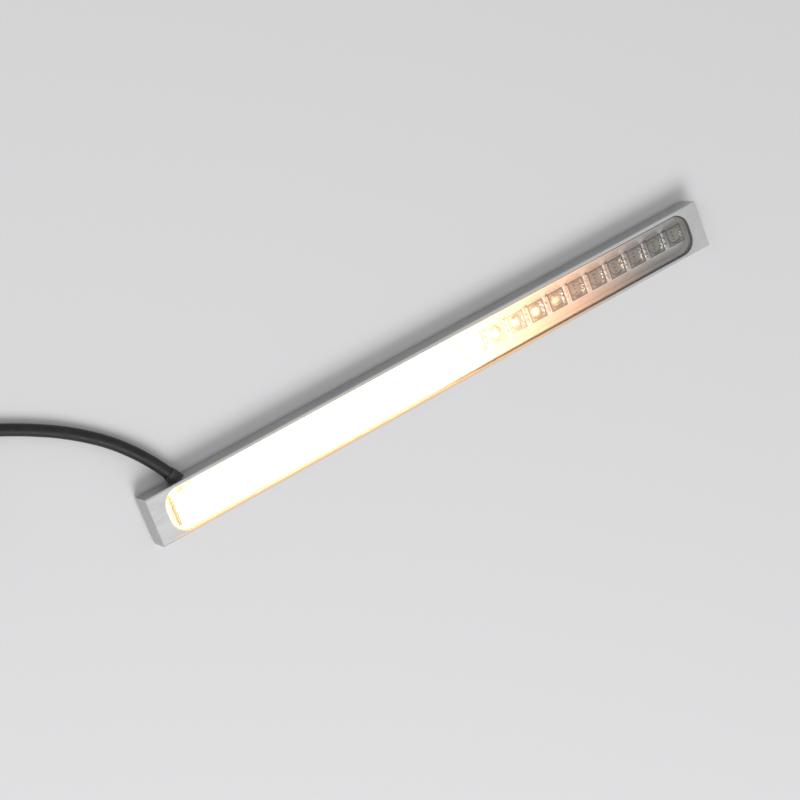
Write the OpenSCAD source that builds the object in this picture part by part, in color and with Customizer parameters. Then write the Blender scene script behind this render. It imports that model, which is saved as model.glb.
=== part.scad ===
// Slim LED license plate lamp: an aluminium bar with a long round-cornered window in its face,
// a circuit board with one row of square LED packages behind it, and a thin round cable.
// X runs along the bar, Y points to the side wall that the cable leaves by, Z points out of the face.
// The origin is the middle of the mounting back, and the lamp lies on z = 0.

/* [Housing] */
// Length of the aluminium bar
housing_length = 170; // [150:1:190]
// Width of the bar
housing_width = 12.5; // [12.3:0.1:14]
// Height of the bar without its mounting tape
housing_height = 5.9; // [5.2:0.1:7]
// Thickness of the metal under the board
floor_thickness = 1.0; // [0.9:0.05:1.1]
// Chamfer along the two long edges of the face
face_chamfer = 0.3; // [0.1:0.05:0.5]
// Chamfer along the short edges of the face and round the back
edge_chamfer = 0.15; // [0.05:0.05:0.3]

/* [Window] */
// Metal left between the window and each end of the bar
end_plate = 4; // [3.5:0.1:6]
// Metal left on the face along each long side of the window
side_strip = 0.75; // [0.6:0.05:0.8]
// Corner radius of the window
window_corner_radius = 4.2; // [2.5:0.1:4.5]
// Width of the ledge that the lens rests on
ledge_width = 0.4; // [0.3:0.05:0.5]
// Gap between the LED packages and the underside of the lens
lens_gap = 0.35; // [0.3:0.05:0.6]
// Distance of the lens below the face
lens_recess = 0.2; // [0.1:0.05:0.3]
// Depth of the step under the lens that locates it in the cavity
lens_step = 0.3; // [0.2:0.05:0.3]
// Gap all round the lens step
lens_step_clearance = 0.1; // [0.05:0.05:0.2]
// Width of the sealing bead round the lens
seal_width = 0.3; // [0.2:0.05:0.4]
// Distance of the bead below the top of the lens
seal_drop = 0.15; // [0.05:0.05:0.3]
// Height of the bead in the gap round the lens, as a share of the lens's thickness
seal_height_share = 0.5; // [0.2:0.02:0.54]

/* [Circuit board] */
// Thickness of the board
board_thickness = 1.0; // [0.9:0.05:1.05]
// Gap between the board and the wall of the cavity
board_clearance = 0.1; // [0.05:0.05:0.2]
// Free length of the cavity before the board's wired end
wiring_gap = 2.6; // [2.2:0.1:2.8]
// Corner radius of the board's wired end
board_corner_radius = 1.4; // [0.8:0.1:2]
// Thickness of the thermal tape under the board
thermal_tape_thickness = 0.15; // [0.1:0.05:0.2]
// Distance of the thermal tape's edge inside the board's edge
thermal_tape_inset = 0.3; // [0.1:0.1:1]

/* [LED packages] */
// Distance from one package to the next
led_pitch = 6.54; // [5.9:0.01:8]
// Distance from the board's far end to the middle of the last package
led_end_margin = 3.3; // [3.2:0.1:3.6]
// Least distance from the board's wired end to the middle of the first package
wired_end_margin = 4.4; // [4:0.1:5]
// Side of a package
led_size = 5.0; // [4.8:0.1:5.1]
// Height of a package
led_height = 1.5; // [1.3:0.05:1.6]
// Cut corner that marks a package's first lead
led_corner_cut = 0.7; // [0.4:0.1:0.8]
// Width of the well across its mouth
well_mouth_d = 4.3; // [4:0.1:4.5]
// Width of the well across its floor
well_floor_d = 3.5; // [3:0.1:3.9]
// Depth of the well
well_depth = 0.7; // [0.5:0.05:0.9]
// Distance of the phosphor fill below the well's mouth
fill_drop = 0.06; // [0.02:0.01:0.15]
// Width of one lead
lead_width = 0.9; // [0.6:0.1:1.1]
// Distance between neighbouring leads on one side
lead_pitch = 1.6; // [1.4:0.1:1.7]
// Height of a lead up the package's side
lead_height = 0.75; // [0.5:0.05:1]
// Length of a lead's foot on the board
lead_reach = 0.35; // [0.2:0.05:0.5]
// Thickness of the lead's metal
lead_thickness = 0.15; // [0.1:0.05:0.2]

/* [Parts on the board] */
// Number of series resistors
resistor_count = 8; // [6:1:9]
// Number of LED packages before the polarity diode, which the resistors follow
count_before_diode = 2; // [2:1:4]
// Length of a resistor
resistor_length = 1.6; // [1.4:0.1:2]
// Width of a resistor
resistor_width = 0.8; // [0.6:0.1:1.2]
// Height of a resistor
resistor_height = 0.5; // [0.4:0.05:0.6]
// Length of each end cap of a resistor
resistor_cap = 0.3; // [0.2:0.05:0.4]
// Step of the resistor's body below its end caps
resistor_step = 0.04; // [0.02:0.01:0.08]
// Length of the polarity diode's body
diode_length = 2.7; // [2.4:0.1:2.9]
// Width of the diode's body
diode_width = 1.6; // [1.4:0.1:1.8]
// Height of the diode's body
diode_height = 1.15; // [1:0.05:1.3]
// Length of each of the diode's two leads
diode_lead = 0.45; // [0.3:0.05:0.6]

/* [Cable entry] */
// Distance from the cavity's near end to the cable's exit, at the outside of the wall
cable_exit_inset = 6.1; // [5.8:0.1:6.3]
// Height of the cable's axis above the back of the bar
cable_exit_height = 2.15; // [2.1:0.05:2.2]
// Angle of the cable to the wall's normal, towards the near end of the bar
exit_angle = 30; // [20:1:32]
// Diameter of the cable's sheath
cable_d = 3.0; // [2.9:0.05:3.1]
// Wall of the rubber sleeve round the cable
sleeve_wall = 0.3; // [0.25:0.05:0.35]
// Length of the sleeve outside the wall, along the cable
sleeve_nose = 2.4; // [2:0.1:3]
// Length of the sleeve's straight part outside the wall
sleeve_shoulder = 1.2; // [1.1:0.1:1.6]
// Thinning of the sleeve's wall at the tip of its nose
sleeve_taper = 0.15; // [0.05:0.05:0.2]
// Length of the sleeve from the outside of the wall into the bar
sleeve_depth = 1.6; // [1.4:0.1:1.7]
// Length of the cable's sheath from the outside of the wall into the bar
sheath_depth = 1.7; // [1.7:0.1:1.9]
// Depth of the cable's hole from the outside of the wall
hole_depth = 2.9; // [2.7:0.1:3.1]
// Gap between the cable's sleeve and the notch in the board
notch_clearance = 0.1; // [0.05:0.05:0.2]

/* [Cores and solder] */
// Diameter of a core with its insulation
core_d = 1.0; // [0.8:0.05:1.05]
// Distance of each core from the cable's axis
core_offset = 0.55; // [0.5:0.05:0.6]
// Gap between the sheath's cut end and the cores' insulation where it shows
core_gap = 0.1; // [0.1:0.01:0.15]
// Height of the cores above the cable's axis where they leave the sheath
core_lift = 0.35; // [0.3:0.05:0.4]
// Diameter of a core's bare wire
wire_d = 0.5; // [0.4:0.05:0.6]
// Length of bare wire between the insulation and the solder
bare_length = 0.3; // [0.2:0.05:0.4]
// Radius of a solder joint
solder_radius = 0.8; // [0.6:0.05:0.8]
// Place of the plus joint along the bar, from the cable's exit
plus_joint_offset = 4.1; // [4:0.1:4.6]
// Place of the minus joint along the bar, from the cable's exit
minus_joint_offset = -2.5; // [-2.5:0.1:-2.4]
// Distance of the plus joint from the board's long edge
plus_joint_inset = 0.85; // [0.8:0.05:1]
// Distance of the minus joint from the board's long edge
minus_joint_inset = 1.75; // [1.7:0.05:1.8]

/* [Mounting tape] */
// Thickness of the foam tape on the back
tape_thickness = 0.5; // [0.3:0.05:1]
// Thickness of the film that covers the tape
liner_thickness = 0.1; // [0.05:0.05:0.2]
// Distance of the tape's edge inside the back's edge
tape_inset = 1.0; // [0.5:0.1:2]
// Corner radius of the tape
tape_corner_radius = 0.8; // [0.3:0.1:2]

/* [Cable's far end] */
// Diameter of a tinned wire tip
tip_d = 0.7; // [0.5:0.05:0.9]
// Length of a tinned wire tip
tip_length = 4; // [2:0.5:5]

/* [Hidden] */
$fn = 64;
// Overrun of every cut past the surface it opens
overrun = 0.05;
// Sides of a swept tube
tube_sides = 8;
// Steps in the bend of a core inside the bar
bend_steps = 8;
// Share of the bend over which a core rises onto the board
rise_share = 0.6;
// Angle of a square corner
right_angle = 90;

back_z = liner_thickness + tape_thickness;
face_z = back_z + housing_height;
pocket_z = back_z + floor_thickness;
lens_top_z = face_z - lens_recess;

seat_length = housing_length - 2 * end_plate;
seat_width = housing_width - 2 * side_strip;
cavity_length = seat_length - 2 * ledge_width;
cavity_width = seat_width - 2 * ledge_width;
cavity_radius = window_corner_radius - ledge_width;
lens_length = seat_length - 2 * seal_width;
lens_width = seat_width - 2 * seal_width;
lens_radius = window_corner_radius - seal_width;

board_z = pocket_z + thermal_tape_thickness;
board_top_z = board_z + board_thickness;
// The ledge clears the packages, and the lens fills the rest of the height up to its recess
seat_z = board_top_z + led_height + lens_gap + lens_step;
lens_thickness = lens_top_z - seat_z;
seal_height = seal_height_share * lens_thickness;
board_left_x = -cavity_length / 2 + wiring_gap;
board_right_x = cavity_length / 2 - board_clearance;
board_width = cavity_width - 2 * board_clearance;
board_far_radius = cavity_radius - board_clearance;

last_led_x = board_right_x - led_end_margin;
led_count = floor((last_led_x - board_left_x - wired_end_margin) / led_pitch) + 1;
function led_x(number) = last_led_x - (led_count - number) * led_pitch;
function led_name(number) = str("led_", number < 10 ? "0" : "", number);
// Middle of the free band of the board beside the packages
band_y = (led_size / 2 + board_width / 2) / 2;

// The cable's entry, as points and directions along its axis
wall_y = housing_width / 2;
cable_exit_x = -cavity_length / 2 + cable_exit_inset;
cable_z = back_z + cable_exit_height;
hole_d = cable_d + 2 * sleeve_wall;
outward = [-sin(exit_angle), cos(exit_angle), 0];
across = [cos(exit_angle), sin(exit_angle), 0];
cable_exit = [cable_exit_x, wall_y, cable_z];
sheath_end = cable_exit - sheath_depth * outward;
cable_nose = cable_exit + (sleeve_nose + cable_d / 5) * outward;

// The two cores bend from the cable's axis to run along the bar, each to its own joint
core_z = board_top_z + core_d / 2;
plus_joint_y = board_width / 2 - plus_joint_inset;
minus_joint_y = board_width / 2 - minus_joint_inset;
plus_joint = [cable_exit_x + plus_joint_offset, plus_joint_y, board_top_z];
minus_joint = [cable_exit_x + minus_joint_offset, minus_joint_y, board_top_z];
core_start = sheath_end - core_gap * outward + [0, 0, core_lift];
plus_start = core_start + core_offset * across;
minus_start = core_start - core_offset * across;
plus_bend = (plus_start.y - plus_joint_y) / (1 - sin(exit_angle));
minus_bend = (minus_start.y - minus_joint_y) / (1 + sin(exit_angle));
joint_gap = solder_radius + bare_length;

// The free cable's route from the sleeve to the coil, its points counted from the exit and the surface
function from_exit(points) = [for (p = points) [cable_exit_x + p.x, wall_y + p.y, p.z]];
cable_route = concat([sheath_end, cable_nose], from_exit([
    [-4.4, 7.15, 2.5],
    [-7.9, 11.65, 2.0],
    [-11.8, 15.75, 1.6],
    [-16.1, 19.35, 1.5],
    [-20.8, 22.75, 1.5],
    [-25.9, 25.85, 1.5],
    [-31.3, 28.75, 1.5],
    [-36.9, 31.45, 1.5],
    [-42.5, 33.95, 1.5],
    [-47.5, 36.25, 1.5],
    [-51.2, 37.95, 1.5]
]));
// Middle of the coil, and the number of turns beside and on each other in it
coil_middle = from_exit([[-65.5, 24.75, 0]])[0];
coil_radius = 16.5;
coil_turns_wide = 2;
coil_turns_high = 2;
// The cable's last stretch, from the coil down to the surface
tail_route = from_exit([
    [-83.5, 17.25, 4.2],
    [-83.5, 13.75, 3.4],
    [-83.5, 10.25, 2.2],
    [-83.5, 6.75, 1.5],
    [-83.5, 3.75, 1.5]
]);
red_lead_route = from_exit([
    [-84.1, 3.75, 1.5],
    [-84.1, 2.75, 1.5],
    [-84.3, -0.25, 1.0],
    [-84.5, -3.25, 0.6],
    [-84.5, -6.25, 0.5],
    [-84.5, -8.25, 0.5]
]);
black_lead_route = from_exit([
    [-82.9, 3.75, 1.5],
    [-82.9, 2.75, 1.5],
    [-82.5, -0.25, 1.0],
    [-81.9, -3.25, 0.6],
    [-81.7, -6.25, 0.5],
    [-81.7, -8.25, 0.5]
]);

BASE_NODES = [
    "housing", "lens", "lens_seal", "circuit_board", "thermal_tape",
    "phosphor_fills", "led_leads", "resistors", "polarity_diode",
    "cable_sleeve", "red_core", "black_core", "solder_joints",
    "mounting_tape", "tape_liner",
    "cable_tube", "cable_coil", "cable_tail", "red_lead", "black_lead", "lead_tips"
];

// A flat outline with four round corners, its middle on the origin
module rounded_outline(length, width, radius) {
    square([length - 2 * radius, width], center = true);
    square([length, width - 2 * radius], center = true);
    for (x = [-1, 1], y = [-1, 1])
        translate([x * (length / 2 - radius), y * (width / 2 - radius)])
            circle(r = radius);
}

module rounded_plate(length, width, radius, z, height) {
    translate([0, 0, z])
        linear_extrude(height = height)
            rounded_outline(length, width, radius);
}

// Places a child that is drawn along +Z on the cable's axis, with z = 0 at the outside of the wall
module on_cable_axis() {
    translate(cable_exit)
        rotate([0, 0, exit_angle])
            rotate([-90, 0, 0])
                children();
}

module cable_hole(diameter, depth) {
    on_cable_axis()
        translate([0, 0, -depth])
            cylinder(d = diameter, h = depth + sleeve_nose);
}

// Cross-section of the bar: top chamfers wide along the long edges, the back's narrow
module bar_section(width, top_chamfer) {
    polygon([
        [-width / 2, edge_chamfer],
        [-width / 2 + edge_chamfer, 0],
        [width / 2 - edge_chamfer, 0],
        [width / 2, edge_chamfer],
        [width / 2, housing_height - top_chamfer],
        [width / 2 - top_chamfer, housing_height],
        [-width / 2 + top_chamfer, housing_height],
        [-width / 2, housing_height - top_chamfer]
    ]);
}

module bar_blank() {
    intersection() {
        translate([-housing_length / 2, 0, back_z])
            rotate([90, 0, 90])
                linear_extrude(height = housing_length)
                    bar_section(housing_width, face_chamfer);
        translate([0, housing_width / 2, back_z])
            rotate([90, 0, 0])
                linear_extrude(height = housing_width)
                    bar_section(housing_length, edge_chamfer);
    }
}

module housing() {
    color([0.72, 0.73, 0.75])
        difference() {
            bar_blank();
            rounded_plate(seat_length, seat_width, window_corner_radius, seat_z,
                          face_z - seat_z + overrun);
            rounded_plate(cavity_length, cavity_width, cavity_radius, pocket_z,
                          seat_z - pocket_z + overrun);
            cable_hole(hole_d, hole_depth);
        }
}

module lens() {
    color([0.9, 0.95, 1, 0.4]) {
        rounded_plate(lens_length, lens_width, lens_radius, seat_z, lens_thickness);
        rounded_plate(cavity_length - 2 * lens_step_clearance, cavity_width - 2 * lens_step_clearance,
                      cavity_radius - lens_step_clearance, seat_z - lens_step, lens_step);
    }
}

module lens_seal() {
    color([0.1, 0.1, 0.11])
        translate([0, 0, lens_top_z - seal_drop - seal_height])
            linear_extrude(height = seal_height)
                difference() {
                    rounded_outline(seat_length, seat_width, window_corner_radius);
                    rounded_outline(lens_length, lens_width, lens_radius);
                }
}

// Outline of the board: nearly square at the wired end, round as the cavity at the far end
module board_outline(inset) {
    left = board_left_x + inset;
    right = board_right_x - inset;
    half = board_width / 2 - inset;
    near_radius = board_corner_radius;
    far_radius = board_far_radius - inset;
    translate([left + near_radius, -half])
        square([right - left - near_radius - far_radius, 2 * half]);
    translate([left, -half + near_radius])
        square([near_radius, 2 * (half - near_radius)]);
    translate([right - far_radius, -half + far_radius])
        square([far_radius, 2 * (half - far_radius)]);
    for (y = [-1, 1]) {
        translate([left + near_radius, y * (half - near_radius)])
            circle(r = near_radius);
        translate([right - far_radius, y * (half - far_radius)])
            circle(r = far_radius);
    }
}

module circuit_board() {
    color([0.93, 0.93, 0.9])
        difference() {
            translate([0, 0, board_z])
                linear_extrude(height = board_thickness)
                    board_outline(0);
            cable_hole(hole_d + 2 * notch_clearance, hole_depth);
        }
}

module thermal_tape() {
    color([0.55, 0.6, 0.68])
        difference() {
            translate([0, 0, pocket_z])
                linear_extrude(height = thermal_tape_thickness)
                    board_outline(thermal_tape_inset);
            cable_hole(hole_d + 2 * notch_clearance, hole_depth);
        }
}

module led_outline() {
    half = led_size / 2;
    polygon([
        [-half, -half],
        [half, -half],
        [half, half],
        [-half + led_corner_cut, half],
        [-half, half - led_corner_cut]
    ]);
}

module led(number) {
    color([0.95, 0.94, 0.9])
        translate([led_x(number), 0, board_top_z])
            difference() {
                linear_extrude(height = led_height)
                    led_outline();
                translate([0, 0, led_height - well_depth])
                    cylinder(d1 = well_floor_d, d2 = well_mouth_d, h = well_depth);
                translate([0, 0, led_height])
                    cylinder(d = well_mouth_d, h = overrun, center = true);
            }
}

// The fill follows the well's slope and stops just below its mouth
module phosphor_fill() {
    fill_height = well_depth - fill_drop;
    fill_top_d = well_floor_d + (well_mouth_d - well_floor_d) * fill_height / well_depth;
    translate([0, 0, board_top_z + led_height - well_depth])
        cylinder(d1 = well_floor_d, d2 = fill_top_d, h = fill_height);
}

module phosphor_fills() {
    color([0.95, 0.82, 0.35])
        for (number = [1:led_count])
            translate([led_x(number), 0, 0])
                phosphor_fill();
}

// One bent lead: up the package's side and out along the board
module led_lead() {
    rotate([90, 0, 0])
        linear_extrude(height = lead_width, center = true)
            polygon([
                [0, 0],
                [lead_reach, 0],
                [lead_reach, lead_thickness],
                [lead_thickness, lead_thickness],
                [lead_thickness, lead_height],
                [0, lead_height]
            ]);
}

module led_leads() {
    color([0.8, 0.8, 0.82])
        for (number = [1:led_count], side = [0, 180], place = [-1, 0, 1])
            translate([led_x(number), 0, board_top_z])
                rotate([0, 0, side])
                    translate([led_size / 2, place * lead_pitch, 0])
                        led_lead();
}

module resistor() {
    body_length = resistor_length - 2 * resistor_cap;
    for (side = [-1, 1])
        translate([side * (resistor_length - resistor_cap) / 2, 0, resistor_height / 2])
            cube([resistor_cap, resistor_width, resistor_height], center = true);
    translate([-body_length / 2, -resistor_width / 2 + resistor_step, 0])
        cube([body_length, resistor_width - 2 * resistor_step, resistor_height - resistor_step]);
}

module resistors() {
    color([0.15, 0.15, 0.16])
        for (place = [0:resistor_count - 1])
            translate([led_x(count_before_diode + 1 + place) + led_pitch / 2, band_y, board_top_z])
                resistor();
}

module polarity_diode() {
    color([0.12, 0.12, 0.13])
        translate([led_x(count_before_diode) + led_pitch / 2, band_y, board_top_z]) {
            translate([-diode_length / 2, -diode_width / 2, lead_thickness])
                cube([diode_length, diode_width, diode_height - lead_thickness]);
            translate([-diode_length / 2 - diode_lead, -diode_width / 4, 0])
                cube([diode_length + 2 * diode_lead, diode_width / 2, lead_thickness]);
        }
}

// The rubber sleeve fills the hole round the cable and tapers to a nose outside the wall
module cable_sleeve() {
    inner = cable_d / 2;
    outer = hole_d / 2;
    color([0.08, 0.08, 0.09])
        on_cable_axis()
            rotate_extrude()
                polygon([
                    [inner, -sleeve_depth],
                    [outer, -sleeve_depth],
                    [outer, sleeve_shoulder],
                    [outer - sleeve_taper, sleeve_nose],
                    [inner, sleeve_nose]
                ]);
}

// Functions that sweep a many-sided ring along a list of points
function unit(v) = v / norm(v);
function heading(path, i) = unit(path[min(i + 1, len(path) - 1)] - path[max(i - 1, 0)]);
function ring(middle, direction, radius, sides) =
    let (sideways = unit(cross([0, 0, 1], direction)),
         upwards = cross(direction, sideways))
    [for (k = [0:sides - 1])
        let (turn = 360 * (k + 1 / 2) / sides)
        middle + radius * (cos(turn) * sideways + sin(turn) * upwards)];
function rings(path, radius, sides) =
    [for (i = [0:len(path) - 1]) each ring(path[i], heading(path, i), radius, sides)];
function side_faces(count, sides) =
    [for (i = [0:count - 2], k = [0:sides - 1])
        let (next = (k + 1) % sides)
        [i * sides + k, (i + 1) * sides + k, (i + 1) * sides + next, i * sides + next]];
function end_faces(count, sides) =
    [[for (k = [0:sides - 1]) k],
     [for (k = [0:sides - 1]) count * sides - 1 - k]];

module swept_tube(path, diameter, sides) {
    polyhedron(points = rings(path, diameter / 2, sides),
               faces = concat(side_faces(len(path), sides), end_faces(len(path), sides)));
}

// Points on a round bend that starts at a core's end face and levels out at core_z.
// turning is 1 to the left and -1 to the right.
function bend_route(start, radius, turning) =
    let (middle = start + turning * radius * across,
         from = turning > 0 ? 2 * right_angle + exit_angle : exit_angle,
         to = turning > 0 ? 3 * right_angle : -right_angle)
    [for (i = [0:bend_steps])
        let (share = i / bend_steps,
             angle = from + share * (to - from),
             rise = min(1, share / rise_share))
        [middle.x + radius * cos(angle),
         middle.y + radius * sin(angle),
         start.z + rise * (core_z - start.z)]];
plus_route = concat(bend_route(plus_start, plus_bend, 1),
                    [[plus_joint.x - joint_gap, plus_joint_y, core_z]]);
minus_route = concat(bend_route(minus_start, minus_bend, -1),
                     [[minus_joint.x + joint_gap, minus_joint_y, core_z]]);

module red_core() {
    color([0.75, 0.08, 0.07])
        swept_tube(plus_route, core_d, tube_sides);
}

module black_core() {
    color([0.1, 0.1, 0.1])
        swept_tube(minus_route, core_d, tube_sides);
}

// A dome of solder with the bare wire that runs into it
module solder_joint(joint, wire_side) {
    translate(joint) {
        intersection() {
            sphere(r = solder_radius);
            translate([-solder_radius, -solder_radius, 0])
                cube(2 * solder_radius);
        }
        translate([0, 0, core_d / 2])
            rotate([0, 90 * wire_side, 0])
                cylinder(d = wire_d, h = joint_gap);
    }
}

module solder_joints() {
    color([0.78, 0.78, 0.8]) {
        solder_joint(plus_joint, -1);
        solder_joint(minus_joint, 1);
    }
}

module mounting_tape() {
    color([0.25, 0.25, 0.27])
        rounded_plate(housing_length - 2 * tape_inset, housing_width - 2 * tape_inset,
                      tape_corner_radius, liner_thickness, tape_thickness);
}

module tape_liner() {
    color([0.7, 0.1, 0.08])
        rounded_plate(housing_length - 2 * tape_inset, housing_width - 2 * tape_inset,
                      tape_corner_radius, 0, liner_thickness);
}

module cable_tube() {
    color([0.07, 0.07, 0.08])
        swept_tube(cable_route, cable_d, tube_sides);
}

module cable_coil() {
    color([0.07, 0.07, 0.08])
        translate([coil_middle.x, coil_middle.y, coil_turns_high * cable_d / 2])
            rotate_extrude()
                translate([coil_radius, 0])
                    rounded_outline(coil_turns_wide * cable_d, coil_turns_high * cable_d, cable_d / 2);
}

module cable_tail() {
    color([0.07, 0.07, 0.08])
        swept_tube(tail_route, cable_d, tube_sides);
}

module red_lead() {
    color([0.75, 0.08, 0.07])
        swept_tube(red_lead_route, core_d, tube_sides);
}

module black_lead() {
    color([0.1, 0.1, 0.1])
        swept_tube(black_lead_route, core_d, tube_sides);
}

module lead_tips() {
    color([0.8, 0.8, 0.82])
        for (route = [red_lead_route, black_lead_route])
            translate(route[len(route) - 1])
                rotate([90, 0, 0])
                    cylinder(d = tip_d, h = tip_length);
}

housing();
lens();
lens_seal();
circuit_board();
thermal_tape();
phosphor_fills();
led_leads();
resistors();
polarity_diode();
cable_sleeve();
red_core();
black_core();
solder_joints();
mounting_tape();
tape_liner();
cable_tube();
cable_coil();
cable_tail();
red_lead();
black_lead();
lead_tips();
for (number = [1:led_count])
    led(number);
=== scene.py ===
"""Looks of a slim LED license plate lamp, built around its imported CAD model."""
import math

import bmesh
import bpy
from mathutils import Matrix, Vector


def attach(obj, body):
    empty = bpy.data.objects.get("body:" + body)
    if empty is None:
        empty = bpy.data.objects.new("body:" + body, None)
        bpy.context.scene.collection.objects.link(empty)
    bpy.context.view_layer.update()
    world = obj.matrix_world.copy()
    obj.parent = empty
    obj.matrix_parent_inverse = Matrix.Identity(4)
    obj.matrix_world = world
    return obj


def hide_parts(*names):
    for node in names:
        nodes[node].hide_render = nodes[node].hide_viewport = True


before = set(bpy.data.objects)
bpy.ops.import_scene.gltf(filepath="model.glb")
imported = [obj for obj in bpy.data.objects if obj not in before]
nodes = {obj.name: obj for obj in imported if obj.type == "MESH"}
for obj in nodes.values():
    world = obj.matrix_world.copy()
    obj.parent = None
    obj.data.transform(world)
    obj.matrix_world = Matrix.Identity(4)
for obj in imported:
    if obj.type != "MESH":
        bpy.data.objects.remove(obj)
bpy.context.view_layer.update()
mm = 0.001

# The camera
# It looks down on the lamp's face from beyond its wired end, as the photograph does,
# with a long lens, and turned so that the bar rises to the right.
camera_place = Vector((-256.1, 180.7, 547.2)) * mm
camera_right = Vector((0.8062, -0.3481, 0.4784))
camera_up = Vector((0.4449, 0.8897, -0.1024))
camera_back = Vector((-0.39, 0.2954, 0.8722))
camera_lens = 112.96
camera_sensor = 36.0

camera = bpy.data.objects.new("camera", bpy.data.cameras.new("camera"))
camera.data.lens = camera_lens
camera.data.sensor_width = camera_sensor
turned_to = Matrix((camera_right, camera_up, camera_back)).transposed().to_4x4()
camera.matrix_world = Matrix.Translation(camera_place) @ turned_to
bpy.context.scene.collection.objects.link(camera)
bpy.context.scene.camera = camera


# The free cable
# One round two-core cable with a black PVC sheath. It leaves through the upper side wall,
# lies on the surface, and its unseen length is wound into a small coil beyond the view.
cable_d = 3.0 * mm
cable_exit = Vector((-74.5, 6.25, 2.75)) * mm
exit_angle = math.radians(30)
outward = Vector((-math.sin(exit_angle), math.cos(exit_angle), 0))
across = Vector((math.cos(exit_angle), math.sin(exit_angle), 0))
sheath_inside = 1.7 * mm
straight_out = 3.0 * mm
first_pull = 1.8 * mm
free_route = [
    (-78.9, 13.4, 2.5),
    (-82.4, 17.9, 2.0),
    (-86.3, 22.0, 1.6),
    (-90.6, 25.6, 1.5),
    (-95.3, 29.0, 1.5),
    (-100.4, 32.1, 1.5),
    (-105.8, 35.0, 1.5),
    (-111.4, 37.7, 1.5),
    (-117.0, 40.2, 1.5),
    (-122.0, 42.5, 1.5),
    (-125.7, 44.2, 1.5),
]
coil_middle = Vector((-140.0, 31.0)) * mm
outer_turn = 18.0 * mm
inner_turn = 15.0 * mm
lower_turn = 1.5 * mm
upper_turn = 4.5 * mm
coil_start = 65.5
coil_end = 180.0 + 3 * 360.0
coil_steps = 72
moves_in = (320, 360)
moves_up = (620, 695)
moves_out = (950, 1000)
tail_route = [
    (-158, 23.5, 4.2),
    (-158, 20.0, 3.4),
    (-158, 16.5, 2.2),
    (-158, 13.0, 1.5),
    (-158, 10.0, 1.5),
]
sheath_black = (0.009, 0.009, 0.010)
sheath_gloss = 0.22
sheath_grain = 0.25 * mm


def eased(value, start, end):
    """Goes smoothly from 0 at start to 1 at end."""
    share = min(1.0, max(0.0, (value - start) / (end - start)))
    return share * share * (3 - 2 * share)


def coil_point(angle):
    """A point of the coil: an outer turn, inner ones that step up, and half an outer one on top."""
    wound = angle - coil_start
    inside = eased(wound, *moves_in) - eased(wound, *moves_out)
    radius = outer_turn + (inner_turn - outer_turn) * inside
    height = lower_turn + (upper_turn - lower_turn) * eased(wound, *moves_up)
    place = math.radians(angle)
    x = coil_middle.x + radius * math.cos(place)
    y = coil_middle.y + radius * math.sin(place)
    return Vector((x, y, height))


def curve_piece(name, points, diameter, resolution=6, sides=4):
    """A round tube on one open spline that runs smoothly through the points."""
    data = bpy.data.curves.new(name, "CURVE")
    data.dimensions = "3D"
    data.bevel_depth = diameter / 2
    data.bevel_resolution = sides
    data.use_fill_caps = True
    data.resolution_u = resolution
    spline = data.splines.new("BEZIER")
    spline.bezier_points.add(len(points) - 1)
    for bezier, point in zip(spline.bezier_points, points):
        bezier.co = point
        bezier.handle_left_type = "AUTO"
        bezier.handle_right_type = "AUTO"
    made = bpy.data.objects.new(name, data)
    bpy.context.scene.collection.objects.link(made)
    return made


def new_finish(name, colour=(0.8, 0.8, 0.8), roughness=0.5, metallic=0.0):
    """A material with one shader, and a function that adds nodes to it."""
    finish = bpy.data.materials.new(name)
    finish.use_nodes = True
    tree = finish.node_tree
    shader = tree.nodes["Principled BSDF"]
    shader.inputs["Base Color"].default_value = (*colour, 1)
    shader.inputs["Roughness"].default_value = roughness
    shader.inputs["Metallic"].default_value = metallic

    def add(kind, feeds=None, **settings):
        made = tree.nodes.new("ShaderNode" + kind)
        for setting, value in settings.items():
            setattr(made, setting, value)
        for socket, value in (feeds or {}).items():
            if isinstance(value, bpy.types.NodeSocket):
                tree.links.new(value, made.inputs[socket])
            else:
                made.inputs[socket].default_value = value
        return made.outputs

    return finish, shader, add


def feed(shader, socket, source):
    """Drives one socket of a shader by a node."""
    shader.id_data.links.new(source, shader.inputs[socket])


def noise_on(add, size, detail=3.0, rough=0.6):
    """Noise whose features are about size long on each axis, fixed to the piece."""
    place = add("TexCoord")["Object"]
    scaled = add("Mapping", {"Vector": place, "Scale": [1 / s for s in size]})["Vector"]
    return add("TexNoise", {"Vector": scaled, "Scale": 1.0, "Detail": detail, "Roughness": rough})[0]


def spread(add, source, low, high, start=0.35, end=0.65):
    """Maps a value between start and end, where most of a noise lies, onto low to high."""
    feeds = {"Value": source, "From Min": start, "From Max": end, "To Min": low, "To Max": high}
    return add("MapRange", feeds)["Result"]


def between(add, share, first, second):
    """Blends two colours, each a plain one or a node's, by a value from 0 to 1."""
    ends = [end if isinstance(end, bpy.types.NodeSocket) else (*end, 1) for end in (first, second)]
    return add("Mix", {0: share, 6: ends[0], 7: ends[1]}, data_type="RGBA")[2]


def toned(add, shader, pattern, dark, pale):
    """Varies the shader's colour between two tones by a noise."""
    feed(shader, "Base Color", between(add, spread(add, pattern, 0, 1), dark, pale))


def bumped(add, shader, height, depth, strength=1.0):
    """Gives the shader a relief of the given depth."""
    feeds = {"Height": height, "Distance": depth, "Strength": strength}
    feed(shader, "Normal", add("Bump", feeds)["Normal"])


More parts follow.
